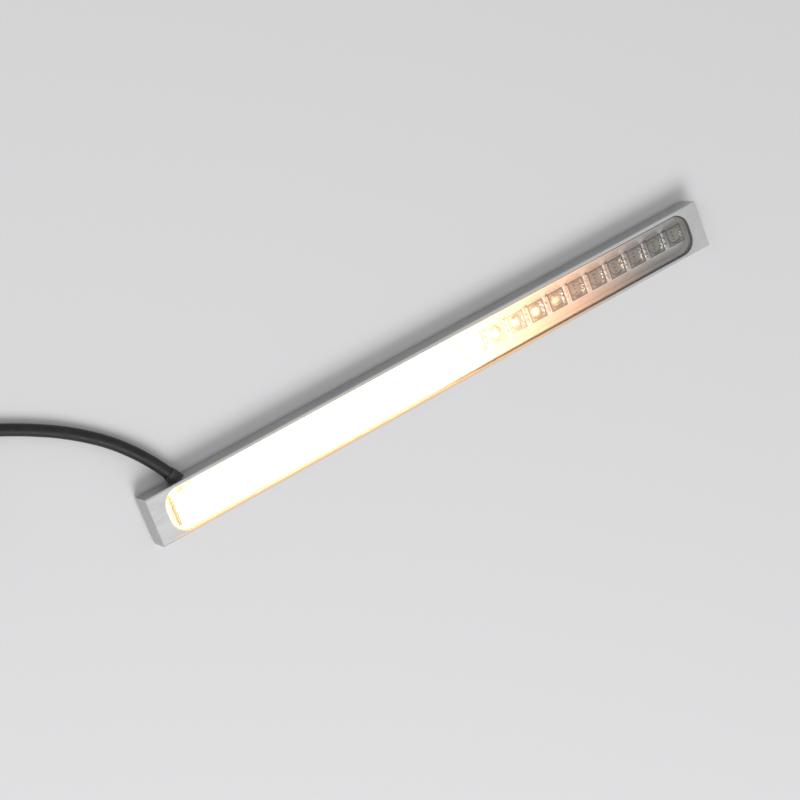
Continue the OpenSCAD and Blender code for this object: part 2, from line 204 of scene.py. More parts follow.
def sheath_finish(name, colour, roughness, grain):
    """Extruded plastic: satin, with faint scuffs and a fine uneven skin."""
    finish, shader, add = new_finish(name)
    skin = noise_on(add, [grain] * 3)
    scuffs = noise_on(add, [12 * grain] * 3)
    feed(shader, "Roughness", spread(add, scuffs, roughness - 0.08, roughness + 0.12))
    worn = [1.35 * part + 0.006 for part in colour]
    toned(add, shader, scuffs, colour, worn)
    bumped(add, shader, skin, 0.12 * grain)
    return finish


sheath_end = cable_exit - sheath_inside * outward
cable_nose = cable_exit + straight_out * outward
route = [sheath_end, cable_nose]
route += [Vector(point) * mm for point in free_route]
for step in range(coil_steps + 1):
    route.append(coil_point(coil_start + (coil_end - coil_start) * step / coil_steps))
route += [Vector(point) * mm for point in tail_route]
cable = curve_piece("cable", route, cable_d)
in_sleeve, past_sleeve = cable.data.splines[0].bezier_points[:2]
in_sleeve.handle_right_type = "VECTOR"
past_sleeve.handle_left_type = "VECTOR"
past_sleeve.handle_right_type = "FREE"
past_sleeve.handle_right = cable_nose + first_pull * outward
sheath = sheath_finish("cable_sheath", sheath_black, 0.45, sheath_grain)
sheath.node_tree.nodes["Principled BSDF"].inputs["Specular IOR Level"].default_value = sheath_gloss
cable.data.materials.append(sheath)
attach(cable, "root")
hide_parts("cable_tube", "cable_coil", "cable_tail")


# The mounting tape and its liner
# Closed-cell foam tape stuck on the back, black, with small open cells along its cut sides.
# A thin red film covers its lower face until the lamp is fitted.
tape_half = (84.0, 5.25)
film_top = 0.1
tape_top = 0.6
tape_corner = 0.8
foam_dark = (0.016, 0.016, 0.018)
foam_pale = (0.06, 0.06, 0.065)
cell_size = 0.16 * mm
film_dark = (0.5, 0.025, 0.02)
film_pale = (0.62, 0.04, 0.03)


def deselect():
    bpy.ops.object.select_all(action="DESELECT")


def block(name, low, high):
    """A box between two corners, given in millimetres, ready to be shaped."""
    deselect()
    low = Vector(low) * mm
    high = Vector(high) * mm
    bpy.ops.mesh.primitive_cube_add(size=1, location=(low + high) / 2, scale=high - low)
    piece = bpy.context.object
    piece.name = name
    bpy.ops.object.transform_apply(location=True, rotation=True, scale=True)
    return piece


def plate(name, half, foot, top):
    """A block centred on the bar, given by its half length and half width and its two heights."""
    return block(name, (-half[0], -half[1], foot), (half[0], half[1], top))


def choose(piece, test, kind="FACE"):
    """In edit mode, selects the faces or edges whose middle and direction pass the test."""
    bpy.ops.mesh.select_mode(type=kind)
    bpy.ops.mesh.select_all(action="DESELECT")
    mesh = bmesh.from_edit_mesh(piece.data)
    if kind == "FACE":
        for face in mesh.faces:
            face.select_set(test(face.calc_center_median(), face.normal))
    else:
        for edge in mesh.edges:
            first, last = (vertex.co for vertex in edge.verts)
            edge.select_set(test((first + last) / 2, (last - first).normalized()))
    bmesh.update_edit_mesh(piece.data)


def choose_top(piece):
    choose(piece, lambda middle, way: way.z > 0.9)


def edit(on=True):
    bpy.ops.object.mode_set(mode="EDIT" if on else "OBJECT")


def round_corners(piece, radius, steps, test=lambda middle: True):
    """Rounds the upright edges of a block."""
    edit()
    choose(piece, lambda middle, way: abs(way.z) > 0.99 and test(middle), "EDGE")
    bpy.ops.mesh.bevel(offset=radius * mm, segments=steps, affect="EDGES")
    edit(False)


def apply_modifiers(piece):
    deselect()
    piece.select_set(True)
    bpy.context.view_layer.objects.active = piece
    for modifier in list(piece.modifiers):
        bpy.ops.object.modifier_apply(modifier=modifier.name)


def soften(piece, width, steps=2, angle=35):
    """Breaks the sharp edges and shades the rest smooth."""
    bevel = piece.modifiers.new("soft_edges", "BEVEL")
    bevel.width = width * mm
    bevel.segments = steps
    bevel.limit_method = "ANGLE"
    bevel.angle_limit = math.radians(angle)
    bevel.harden_normals = False
    apply_modifiers(piece)
    bpy.ops.object.shade_smooth_by_angle(angle=math.radians(angle))


def set_down(piece, finish, slot, *replaced):
    """Gives a piece its finish, unless it has one, and fixes it to the lamp."""
    if finish is not None:
        piece.data.materials.append(finish)
    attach(piece, "root")
    if replaced:
        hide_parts(*replaced)


foam, foam_shader, add = new_finish("foam_tape", roughness=0.85)
cells = add("TexVoronoi", {"Vector": add("TexCoord")["Object"], "Scale": 1 / cell_size})["Distance"]
cell_tone = spread(add, cells, 0, 1, 0.1, 0.7)
feed(foam_shader, "Base Color", between(add, cell_tone, foam_dark, foam_pale))
bumped(add, foam_shader, cells, 0.05 * mm)
tape = plate("foam_tape_pad", tape_half, film_top, tape_top)
round_corners(tape, tape_corner, 6)
soften(tape, 0.06)
set_down(tape, foam, "foam_tape", "mounting_tape")

film, film_shader, add = new_finish("liner_film")
creases = noise_on(add, [9 * mm, 3 * mm, 3 * mm], 2.0)
feed(film_shader, "Roughness", spread(add, creases, 0.16, 0.34))
toned(add, film_shader, creases, film_dark, film_pale)
bumped(add, film_shader, creases, 0.03 * mm)
liner = plate("liner_film_strip", tape_half, 0, film_top)
round_corners(liner, tape_corner, 6)
soften(liner, 0.02, 1)
set_down(liner, film, "liner_film", "tape_liner")


# The housing
# One straight bar of satin anodised aluminium with square ends. The stepped pocket for the
# board and the lens is milled from the face, and the cable's hole is drilled at a slant.
metal_dark = (0.45, 0.455, 0.46)
metal_pale = (0.56, 0.56, 0.555)
pocket_painted_light = (0.84, 0.83, 0.81)
painted_glow_metal = (0.56, 0.33, 0.14)
glow_colour = (1.0, 0.64, 0.33)
pocket_half = (81.0, 5.5)
pocket_top = 6.4
pocket_blur = 0.05
strip_edge = (-5.55, -5.45)
strip_foot = (6.15, 6.25)
strip_start = (-84.0, -76.0)
strip_fade = (20.0, 64.0)
strip_painted_tint = 0.75
strip_painted_glow = 0.34


def dress(finish, *names):
    """Gives CAD nodes that stay in view their finish."""
    for name in names:
        node = nodes[name]
        if not node.material_slots:
            node.data.materials.append(finish)
        for held in node.material_slots:
            held.material = finish


def place_on(add):
    """The place on the piece, as X, Y and Z."""
    return add("SeparateXYZ", {0: add("TexCoord")["Object"]})


def worked(add, operation, first, second=0.0, clamp=False):
    """One step of arithmetic, on nodes or plain numbers."""
    return add("Math", {0: first, 1: second}, operation=operation, use_clamp=clamp)[0]


def times(add, first, *others):
    for other in others:
        first = worked(add, "MULTIPLY", first, other)
    return first


def plus(add, first, second):
    return worked(add, "ADD", first, second)


def rise(add, value, start, end, low=0.0, high=1.0):
    """Goes from low to high between two places, given in millimetres."""
    return spread(add, value, low, high, start * mm, end * mm)


def fall(add, value, start, end):
    """Goes from 1 to 0 between two places, given in millimetres."""
    return rise(add, value, start, end, 1.0, 0.0)


def along_bar(add, full_x, none_x):
    """Goes smoothly from 1 to 0 between two places along the bar."""
    feeds = {
        "Value": place_on(add)["X"],
        "From Min": full_x * mm,
        "From Max": none_x * mm,
        "To Min": 1.0,
        "To Max": 0.0,
    }
    return add("MapRange", feeds, interpolation_type="SMOOTHSTEP")["Result"]


aluminium, metal, add = new_finish("satin_aluminium")
grain = noise_on(add, [22 * mm, 0.09 * mm, 0.09 * mm], 4.0, 0.65)
clouds = noise_on(add, [14 * mm, 5 * mm, 5 * mm], 3.0)
handling = noise_on(add, [2.2 * mm, 0.5 * mm, 1.4 * mm], 5.0, 0.7)
place = place_on(add)
in_length = fall(add, worked(add, "ABSOLUTE", place["X"]), pocket_half[0], pocket_half[0] + pocket_blur)
in_width = fall(add, worked(add, "ABSOLUTE", place["Y"]), pocket_half[1], pocket_half[1] + pocket_blur)
below_face = fall(add, place["Z"], pocket_top, pocket_top + pocket_blur)
pocket = times(add, in_length, in_width, below_face)

# A drawn grain and handling marks on the outside, and a matt pale pocket, whose pale colour is painted
# light that lifts its shade
rough_outside = plus(add, spread(add, grain, 0.30, 0.42), spread(add, handling, -0.03, 0.07, 0.45, 0.75))
feed(metal, "Roughness", plus(add, rough_outside, times(add, pocket, 0.2)))
feed(metal, "Metallic", worked(add, "SUBTRACT", 1.0, pocket))
tone = plus(add, spread(add, grain, 0, 0.5), spread(add, clouds, 0, 0.5))
anodised = between(add, pocket, between(add, tone, metal_dark, metal_pale), pocket_painted_light)
bumped(add, metal, grain, 0.006 * mm, 0.6)

# Painted reflection: the narrow strip of the face below the window is tinted warm and made to glow as if
# it caught the lamp's light
in_strip = times(add, fall(add, place["Y"], *strip_edge), rise(add, place["Z"], *strip_foot))
beside_lens = times(add, along_bar(add, *strip_fade), rise(add, place["X"], *strip_start))
strip = times(add, in_strip, beside_lens)
feed(metal, "Base Color", between(add, times(add, strip, strip_painted_tint), anodised, painted_glow_metal))
metal.inputs["Emission Color"].default_value = (*glow_colour, 1)
feed(metal, "Emission Strength", times(add, strip, strip_painted_glow))
dress(aluminium, "housing")


# The thermal tape
# A thin grey-blue silicone pad that holds the board to the pocket's floor and carries its heat.
pad_dark = (0.28, 0.36, 0.44)
pad_pale = (0.40, 0.47, 0.55)
pad, pad_shader, add = new_finish("thermal_pad", roughness=0.7)
specks = noise_on(add, [0.3 * mm] * 3)
toned(add, pad_shader, specks, pad_dark, pad_pale)
bumped(add, pad_shader, specks, 0.01 * mm)
dress(pad, "thermal_tape")


# The circuit board
# A long board with a white solder mask over faint copper tracks, brown to olive at its wired end. The
# lit packages' light is painted on it as a glow that fades along the bar, from full at the wired end to
# none.
first_led = -73.22
led_pitch = 6.54
led_count = 24
board_top = 2.75
mask_dark = (0.72, 0.69, 0.67)
mask_pale = (0.86, 0.83, 0.81)
wired_end_brown = (0.20, 0.14, 0.10)
wired_end_olive = (0.15, 0.155, 0.08)
wired_end_blend = (-1.0, 2.0)
wired_end_edge = (-77.45, -77.2)
board_lit = (-77.4, -77.0)
board_painted_glow = 3.8
track_length = 3 * led_pitch
track_row = 1.15
track_gap = 0.12
deep_glow = (1.0, 0.50, 0.25)
glow_blend = (6.0, 44.0)
burnt_fade = (-16.0, 17.0)
burnt_level = 0.6
weak_fade = (8.0, 72.0)
weak_level = 0.15


def glow_level(add):
    """How strongly the lamp is lit along the bar: a burnt-out part, and a weak one beyond it."""
    burnt = times(add, along_bar(add, *burnt_fade), burnt_level)
    weak = times(add, along_bar(add, *weak_fade), weak_level)
    return plus(add, burnt, weak)


def lamp_tint(add):
    """The colour of the lamp's light, which is deeper where it is weak."""
    return between(add, along_bar(add, *glow_blend), deep_glow, glow_colour)


def light_up(add, shader, strength, shade=1.0):
    """Paints the lamp's light on a finish as a glow; on the phosphor fills it is the lamp's own light.
    """
    feed(shader, "Emission Color", lamp_tint(add))
    feed(shader, "Emission Strength", times(add, glow_level(add), shade, strength))


mask, mask_shader, add = new_finish("white_board")
tracks = add("TexBrick", {
    "Vector": add("TexCoord")["Object"],
    "Scale": 1.0,
    "Mortar Size": track_gap * mm,
    "Mortar Smooth": 0.4,
    "Brick Width": track_length * mm,
    "Row Height": track_row * mm,
})["Fac"]
mottle = noise_on(add, [1.6 * mm, 1.1 * mm, 1.1 * mm])
shade = worked(add, "SUBTRACT", spread(add, mottle, 0.35, 1), tracks, clamp=True)
painted = between(add, shade, mask_dark, mask_pale)
place = place_on(add)
# At its wired end the board is brown, turning olive towards its upper side
wired_end_tone = between(add, rise(add, place["Y"], *wired_end_blend), wired_end_brown, wired_end_olive)
feed(mask_shader, "Base Color", between(add, fall(add, place["X"], *wired_end_edge), painted, wired_end_tone))
feed(mask_shader, "Roughness", spread(add, mottle, 0.32, 0.46))
bumped(add, mask_shader, tracks, 0.03 * mm, 0.7)
# Painted light: the lamp's glow on the board, from just past its wired end
light_up(add, mask_shader, board_painted_glow, rise(add, place["X"], *board_lit))
dress(mask, "circuit_board")


# The LED packages
# Square white packages with a cut corner, a round well, a split metal frame on its floor,
# three chips and their gold wires. Each is soldered by six feet on two of its sides.
led_half = 2.5
led_height = 1.5
led_notch = 0.7
well_floor = 0.8
well_cut = 0.8
well_low_r = 1.75
well_top_r = 2.2
frame_r = 1.7
frame_sheet = 0.03
frame_reach = 1.6
frame_gap_top = 0.85
frame_gap_half = 0.07
frame_gap_y = 0.62
frame_gap_x = (0.25, 0.4)
chip_pitch = 1.08
chip_length = 0.55
chip_half = 0.25
chip_top = 0.95
wire_d = 0.04
wire_middle = -0.28
wire_aside = 0.1
wire_top = 1.22
wire_foot = 0.84
wall_edge = (2.36, 2.44)
wall_top = (4.14, 4.2)
rim_edge = (1.98, 2.18)
rim_fade = (14.0, 36.0)
rim_least = 0.25
arc_side = (1.3, 2.0)
arc_start = (1.0, 4.0)
arc_fade = (14.0, 20.0)
arc_depth = 3.0
body_fade = (22.0, 34.0)
body_least = 0.45
boost_fade = (16.0, 36.0)
boost = 2.6
body_glow = 3.6
glint_side = (1.1, 1.7)
glint_inside = (1.72, 1.82)
glint_outside = (2.1, 2.2)
glint_fade = (20.0, 110.0)
glint_glow = 4.0
tin_painted_glow = 2.6
tin_near_body = (-2.6, -2.0)
tin_past_lit = (28.0, 46.0)
tin_in_bar = (-82.0, -81.0)
shaded_body_dark = (0.17, 0.157, 0.148)
shaded_body_pale = (0.38, 0.358, 0.34)
rim_shadow_dark = (0.08, 0.075, 0.075)
wall_pale = (0.78, 0.75, 0.73)
glint_tint = (1.0, 0.86, 0.74)
tin_dark = (0.26, 0.26, 0.27)
tin_pale = (0.58, 0.58, 0.58)
chip_dark = (0.06, 0.06, 0.07)
chip_pale = (0.18, 0.18, 0.20)
gold_colour = (0.95, 0.68, 0.28)


def led_offset(add):
    """Place along and across the face, counted from the middle of the nearest package."""
    place = place_on(add)
    along = worked(add, "SUBTRACT", place["X"], (first_led - led_pitch / 2) * mm)
    inside = worked(add, "FLOORED_MODULO", along, led_pitch * mm)
    return worked(add, "SUBTRACT", inside, led_pitch / 2 * mm), place["Y"]


def led_distance(add, off_x=0.0):
    """Distance from the middle of the nearest package, or from a place off it along the bar."""
    along, aside = led_offset(add)
    flat = add("CombineXYZ", {"X": worked(add, "SUBTRACT", along, off_x * mm), "Y": aside})[0]
    return add("VectorMath", {0: flat}, operation="LENGTH")["Value"]


def led_border(add, start, end):
    """Goes from 0 to 1 between two distances from a package's middle, measured square to its sides."""
    along, aside = (worked(add, "ABSOLUTE", way) for way in led_offset(add))
    return rise(add, worked(add, "MAXIMUM", along, aside), start, end)


def select_only(*pieces):
    deselect()
    for piece in pieces:
        piece.select_set(True)
    bpy.context.view_layer.objects.active = pieces[0]


def cut(piece, tool):
    """Cuts the tool's shape out of a piece and removes the tool."""
    taken = piece.modifiers.new("cut", "BOOLEAN")
    taken.operation = "DIFFERENCE"
    taken.object = tool
    apply_modifiers(piece)
    bpy.data.objects.remove(tool)


def joined(name, *pieces):
    """Joins pieces into one that keeps each one's finish."""
    select_only(*pieces)
    bpy.ops.object.join()
    piece = bpy.context.object
    piece.name = name
    return piece


def moved_copy(piece, name, offset):
    """A copy of a piece with its own mesh, moved by an offset in metres."""
    made = piece.copy()
    made.data = piece.data.copy()
    made.name = name
    made.data.name = name
    made.data.transform(Matrix.Translation(offset))
    bpy.context.scene.collection.objects.link(made)
    return made


def row_of(piece, names):
    """The piece and its copies at the next packages, one for each name."""
    row = [piece]
    for number, name in enumerate(names, 1):
        row.append(moved_copy(piece, name, (number * led_pitch * mm, 0, 0)))
    return row


def to_mesh(piece):
    select_only(piece)
    bpy.ops.object.convert(target="MESH")
    return bpy.context.object


def led_box(name, low, high, finish):
    """A small block placed from the middle of the first package and the board's face."""
    middle = Vector((first_led, 0, board_top))
    piece = block(name, middle + Vector(low), middle + Vector(high))
    piece.data.materials.append(finish)
    return piece


def led_round(low_r, top_r, foot, height):
    """A round block on the first package's axis, with its foot above the board's face."""
    deselect()
    middle = Vector((first_led, 0, board_top + foot + height / 2)) * mm
    bpy.ops.mesh.primitive_cone_add(
        vertices=32, radius1=low_r * mm, radius2=top_r * mm, depth=height * mm, location=middle
    )
    bpy.ops.object.transform_apply(location=True, rotation=True, scale=True)
    return bpy.context.object


# Painted shade: the white plastic's top is coloured grey as if unlit, with a painted dark shadow along
# its ragged rim; the outer walls keep a pale tone
body, body_shader, add = new_finish("led_body")
patches = noise_on(add, [0.5 * mm] * 3)
shaded_plain = between(add, spread(add, patches, 0, 1), shaded_body_dark, shaded_body_pale)
wall = times(add, led_border(add, *wall_edge), fall(add, place_on(add)["Z"], *wall_top))
full_rim_shadow = times(add, led_border(add, *rim_edge), worked(add, "SUBTRACT", 1.0, wall))
rim_shadow = times(add, full_rim_shadow, spread(add, along_bar(add, *rim_fade), 1, rim_least, 0, 1))
ragged_shadow = worked(add, "MULTIPLY", rim_shadow, spread(add, patches, 0.7, 1.1), clamp=True)
bordered = between(add, ragged_shadow, shaded_plain, rim_shadow_dark)
feed(body_shader, "Base Color", between(add, wall, bordered, wall_pale))
feed(body_shader, "Roughness", spread(add, patches, 0.3, 0.45))

# The lit packages glow as the lamp, and the glow is painted on past them: the last burnt-out packages
# glow most, and show only a faint painted arc of less glow on their far side
along = led_offset(add)[0]
last_burnt = worked(add, "SUBTRACT", along_bar(add, *arc_fade), along_bar(add, *arc_start))
faint_arc = times(add, full_rim_shadow, rise(add, along, *arc_side), last_burnt)
own_light = spread(add, along_bar(add, *body_fade), body_least, 1, 0, 1)
own_light = plus(add, own_light, times(add, along_bar(add, *boost_fade), boost))
own_light = worked(add, "SUBTRACT", own_light, times(add, faint_arc, arc_depth))
dimmed = plus(add, spread(add, ragged_shadow, 0.75, 0.4, 0, 1), times(add, wall, 0.3))
body_light = times(add, glow_level(add), dimmed, own_light, body_glow)

# Painted glints: the far edge of each well glows as if catching the light of its neighbours
out = led_distance(add)
glint_ring = times(add, rise(add, out, *glint_inside), fall(add, out, *glint_outside))
glint_spots = spread(add, patches, 0, glint_glow, 0.5, 0.62)
glint = times(add, rise(add, along, *glint_side), glint_ring, glint_spots, along_bar(add, *glint_fade))
paled = spread(add, glint, 0, 1, 0, 0.3)
feed(body_shader, "Emission Color", between(add, paled, lamp_tint(add), glint_tint))
feed(body_shader, "Emission Strength", plus(add, body_light, glint))

# Tinned metal with a painted sparkle: a glow beside the lit packages, none outside the bar
tin, tin_shader, add = new_finish("tinned_metal", metallic=1.0)
ripple = noise_on(add, [0.22 * mm] * 3)
feed(tin_shader, "Roughness", spread(add, ripple, 0.28, 0.5))
toned(add, tin_shader, ripple, tin_dark, tin_pale)
bumped(add, tin_shader, ripple, 0.02 * mm)
along = place_on(add)["X"]
near_body = rise(add, led_offset(add)[0], *tin_near_body, 1, 0.25)
past_lit = rise(add, along, *tin_past_lit, 1, 2.4)
painted_sparkle = times(add, near_body, past_lit, spread(add, ripple, 0.4, 2.6, 0.4, 0.65))
light_up(add, tin_shader, tin_painted_glow, times(add, painted_sparkle, rise(add, along, *tin_in_bar)))

chip, chip_shader, add = new_finish("led_chip", roughness=0.15)
toned(add, chip_shader, noise_on(add, [0.12 * mm] * 3), chip_dark, chip_pale)

gold, gold_shader, add = new_finish("gold_wire", gold_colour, metallic=1.0)
feed(gold_shader, "Roughness", spread(add, noise_on(add, [0.1 * mm] * 3), 0.15, 0.3))

package = led_box("package", (-led_half, -led_half, 0), (led_half, led_half, led_height), body)
round_corners(package, led_notch, 1, lambda middle: middle.x < first_led * mm and middle.y > 0)
cut(package, led_round(well_low_r, well_top_r, well_floor, well_cut))
soften(package, 0.07)

inner_frame = led_round(frame_r, frame_r, well_floor, frame_sheet)
inner_frame.data.materials.append(tin)
parts = [package, inner_frame]
for side in (-frame_gap_y, frame_gap_y):
    low = (-frame_reach, side - frame_gap_half, well_floor)
    high = (frame_reach, side + frame_gap_half, frame_gap_top)
    parts.append(led_box("frame_gap", low, high, body))
low = (frame_gap_x[0], -frame_reach, well_floor)
high = (frame_gap_x[1], frame_reach, frame_gap_top)
parts.append(led_box("frame_gap", low, high, body))
for side in (-chip_pitch, 0.0, chip_pitch):
    low = (-chip_length, side - chip_half, well_floor + frame_sheet)
    die = led_box("die", low, (0.0, side + chip_half, chip_top), chip)
    soften(die, 0.02, 1)
    parts.append(die)
    for way in (-1, 1):
        points = []
        for reach, height in ((0.12, chip_top), (0.5, wire_top), (1.0, wire_foot)):
            x = first_led + wire_middle + reach * way
            points.append(Vector((x, side + wire_aside * way, board_top + height)) * mm)
        bond = curve_piece("bond", points, wire_d * mm, 4, 0)
        bond.data.materials.append(gold)
        parts.append(to_mesh(bond))
package = joined("package_01", *parts)
packages = row_of(package, [f"package_{number:02d}" for number in range(2, led_count + 1)])
for number, piece in enumerate(packages, 1):
    set_down(piece, None, "led_body", f"led_{number:02d}")


# The phosphor fills
# Soft clear-yellow silicone that fills each well to just below its mouth, dished in the
# middle. The lit ones are too bright to see into, and the last lit ones show a small spot.
fill_dark = (0.20, 0.18, 0.15)
fill_pale = (0.46, 0.42, 0.36)
fill_tint = (0.95, 0.93, 0.87)
fill_low_r = 1.74
fill_top_r = 2.09
fill_foot = 0.81
fill_height = 0.62
dish_steps = ((0.3, 0.03), (0.5, 0.03), (0.6, 0.02))
spot_off = -0.45
spot_small = 0.95
spot_wide = 1.85
spot_widens = (5.0, 22.0)
spot_fade = (28.0, 46.0)
spot_glow = 250.0


def see_through(finish, shader, add, share, tint):
    """Lets light pass straight through a finish, and shows its shader only by the share."""
    passed = add("BsdfTransparent", {"Color": (*tint, 1)})[0]
    shown = add("MixShader", {0: share, 1: passed, 2: shader.outputs[0]})[0]
    tree = finish.node_tree
    tree.links.new(shown, tree.nodes["Material Output"].inputs["Surface"])


fill_finish, fill_shader, add = new_finish("phosphor_fill", roughness=0.12)
grit = noise_on(add, [0.25 * mm] * 3)
toned(add, fill_shader, grit, fill_dark, fill_pale)
bumped(add, fill_shader, grit, 0.02 * mm)
uneven = spread(add, noise_on(add, [0.9 * mm] * 3, 2.0), 0.9, 1.5)
spot_radius = spread(add, along_bar(add, *spot_widens), spot_small * mm, spot_wide * mm, 0, 1)
share = worked(add, "DIVIDE", times(add, led_distance(add, spot_off), uneven), spot_radius)
bright_spot = worked(add, "EXPONENT", times(add, share, share, -1.0))
light_up(add, fill_shader, spot_glow, times(add, bright_spot, along_bar(add, *spot_fade)))
see_through(fill_finish, fill_shader, add, spread(add, grit, 0.12, 0.30), fill_tint)

fill = led_round(fill_low_r, fill_top_r, fill_foot, fill_height)
edit()
choose_top(fill)
for inset, drop in dish_steps:
    bpy.ops.mesh.inset(thickness=inset * mm, depth=-drop * mm)
edit(False)
bpy.ops.object.shade_smooth_by_angle(angle=math.radians(40))
fill = joined("phosphor_fill_row", *row_of(fill, ["fill"] * (led_count - 1)))
set_down(fill, fill_finish, "phosphor", "phosphor_fills")


# The leads, pads and solder
# Six tinned feet on each package stand on tinned pads, each in a small bright fillet of solder.
foot_pitch = 1.6
fillet_reach = (2.52, 3.12)
fillet_half = 0.52
pad_height = 0.03
fillet_rise = 0.16
fillet_lean = 0.06
fillet_taper = (0.6, 0.86, 1)

fillet_low = (fillet_reach[0], -fillet_half, 0)
fillet_high = (fillet_reach[1], fillet_half, pad_height)
fillet = led_box("fillet", fillet_low, fillet_high, tin)
edit()
choose_top(fillet)
bpy.ops.mesh.inset(thickness=0.05 * mm)
lift = (-fillet_lean * mm, 0, fillet_rise * mm)
bpy.ops.mesh.extrude_region_move(TRANSFORM_OT_translate={"value": lift})
bpy.ops.transform.resize(value=fillet_taper)
edit(False)
soften(fillet, 0.03, 1)
feet = [fillet]
for side in (-foot_pitch, foot_pitch):
    feet.append(moved_copy(fillet, "fillet", (0, side * mm, 0)))
about_led = Matrix.Translation((first_led * mm, 0, 0))
half_turn = about_led @ Matrix.Rotation(math.pi, 4, "Z") @ about_led.inverted()
for foot in feet[:]:
    far = moved_copy(foot, "fillet", (0, 0, 0))
    far.data.transform(half_turn)
    feet.append(far)
footing = joined("footing", *feet)
footing = joined("solder_fillets", *row_of(footing, ["footing"] * (led_count - 1)))
set_down(footing, None, "tinned_metal")
dress(tin, "led_leads")


# The series resistors
# Eight surface resistors, each a white ceramic chip with a black coat and wrapped tin ends.
resistor_count = 8
first_resistor = 3
band_y = 3.75
resistor_half = (0.8, 0.4)
resistor_height = 0.5
wrap_from = 0.5
ceramic_half = (0.76, 0.37)
ceramic_rise = (0.02, 0.44)
coat_half = (0.5, 0.36)
coat_rise = (0.42, 0.48)
ceramic_white = (0.72, 0.72, 0.70)
coat_dark = (0.010, 0.010, 0.012)
coat_pale = (0.03, 0.03, 0.033)

ceramic, ceramic_shader, add = new_finish("chip_ceramic", ceramic_white)
feed(ceramic_shader, "Roughness", spread(add, noise_on(add, [0.2 * mm] * 3), 0.4, 0.6))
coat, coat_shader, add = new_finish("chip_black")
dull = noise_on(add, [0.3 * mm] * 3)
feed(coat_shader, "Roughness", spread(add, dull, 0.24, 0.42))
toned(add, coat_shader, dull, coat_dark, coat_pale)
# Painted light: the black coat of the resistors and the diode glows faintly with the lamp's light
light_up(add, coat_shader, 1.6)


def chip_part(name, low, high, finish, edge):
    """A block of a small part, placed from the middle of the gap after the third package."""
    x = first_led + (first_resistor - 0.5) * led_pitch
    middle = Vector((x, band_y, board_top))
    piece = block(name, middle + Vector(low), middle + Vector(high))
    piece.data.materials.append(finish)
    soften(piece, edge, 2)
    return piece


def chip_plate(name, half, rise_from, finish, edge):
    """The same, for a block that is centred on the part."""
    low = (-half[0], -half[1], rise_from[0])
    high = (half[0], half[1], rise_from[1])
    return chip_part(name, low, high, finish, edge)


def chip_ends(name, inner, outer, half_width, height, edge):
    """The two tinned ends of a small part, from inner to outer on each side."""
    left = chip_part(name, (-outer, -half_width, 0), (-inner, half_width, height), tin, edge)
    right = chip_part(name, (inner, -half_width, 0), (outer, half_width, height), tin, edge)
    return left, right


resistor = joined(
    "resistor",
    chip_plate("chip", ceramic_half, ceramic_rise, ceramic, 0.02),
    chip_plate("coat", coat_half, coat_rise, coat, 0.02),
    *chip_ends("end", wrap_from, resistor_half[0], resistor_half[1], resistor_height, 0.05),
)
resistor = joined("resistor_row", *row_of(resistor, ["resistor"] * (resistor_count - 1)))
set_down(resistor, None, "chip_black", "resistors")


# The polarity diode
# A moulded black body with drafted sides, a pale band at one end, and two flat tinned leads.
diode_half = (1.35, 0.8)
diode_foot = 0.15
diode_waist = 0.55
diode_top = 1.15
diode_draft = (0.93, 0.88, 1)
band_low = (-1.18, -0.69, 1.1)
band_high = (-0.8, 0.69, 1.155)
lead_reach = (1.2, 1.8)
lead_half = 0.4
band_white = (0.7, 0.7, 0.68)

pale_band, band_shader, add = new_finish("pale_band", band_white)
feed(band_shader, "Roughness", spread(add, noise_on(add, [0.2 * mm] * 3), 0.42, 0.6))
lower = chip_plate("lower", diode_half, (diode_foot, diode_waist), coat, 0.03)
upper = chip_plate("upper", diode_half, (diode_waist, diode_top), coat, 0.01)
edit()
choose_top(upper)
bpy.ops.transform.resize(value=diode_draft)
edit(False)
soften(upper, 0.05)
diode = joined(
    "diode",
    lower,
    upper,
    chip_part("band", band_low, band_high, pale_band, 0.01),
    *chip_ends("lead", *lead_reach, lead_half, diode_foot, 0.02),
)
diode.data.transform(Matrix.Translation((-led_pitch * mm, 0, 0)))
set_down(diode, None, "chip_black", "polarity_diode")


# The cable's sleeve
# A black rubber sleeve that grips the cable in its hole. Three grooves round its outer end
# let it bend with the cable. Its rings run from the inner end out, and back along the bore.
sleeve_black = (0.014, 0.014, 0.015)
sleeve_grain = 0.18 * mm
sleeve_rings = [
    (-1.6, 1.52), (-1.6, 1.76), (-1.5, 1.8), (0.0, 1.8), (0.25, 1.8), (0.35, 1.72), (0.5, 1.72),
    (0.6, 1.8), (0.95, 1.8), (1.05, 1.71), (1.2, 1.71), (1.3, 1.77), (1.65, 1.75), (1.75, 1.68),
    (1.9, 1.67), (2.0, 1.72), (2.3, 1.68), (2.4, 1.6), (2.4, 1.52), (0.4, 1.51), (-1.6, 1.52),
]


def turned_part(name, rings, sides=32):
    """A part turned about Z, given as height and radius of each ring in millimetres."""
    deselect()
    height, radius = rings[0]
    bpy.ops.mesh.primitive_circle_add(vertices=sides, radius=radius * mm, location=(0, 0, height * mm))
    piece = bpy.context.object
    piece.name = name
    bpy.ops.object.transform_apply(location=True, rotation=True, scale=True)
    edit()
    bpy.ops.mesh.select_mode(type="VERT")
    bpy.ops.mesh.select_all(action="SELECT")
    for next_height, next_radius in rings[1:]:
        step_up = (0, 0, (next_height - height) * mm)
        bpy.ops.mesh.extrude_region_move(TRANSFORM_OT_translate={"value": step_up})
        scale = next_radius / radius
        bpy.ops.transform.resize(value=(scale, scale, 1), center_override=(0, 0, next_height * mm))
        height, radius = next_height, next_radius
    edit(False)
    return piece


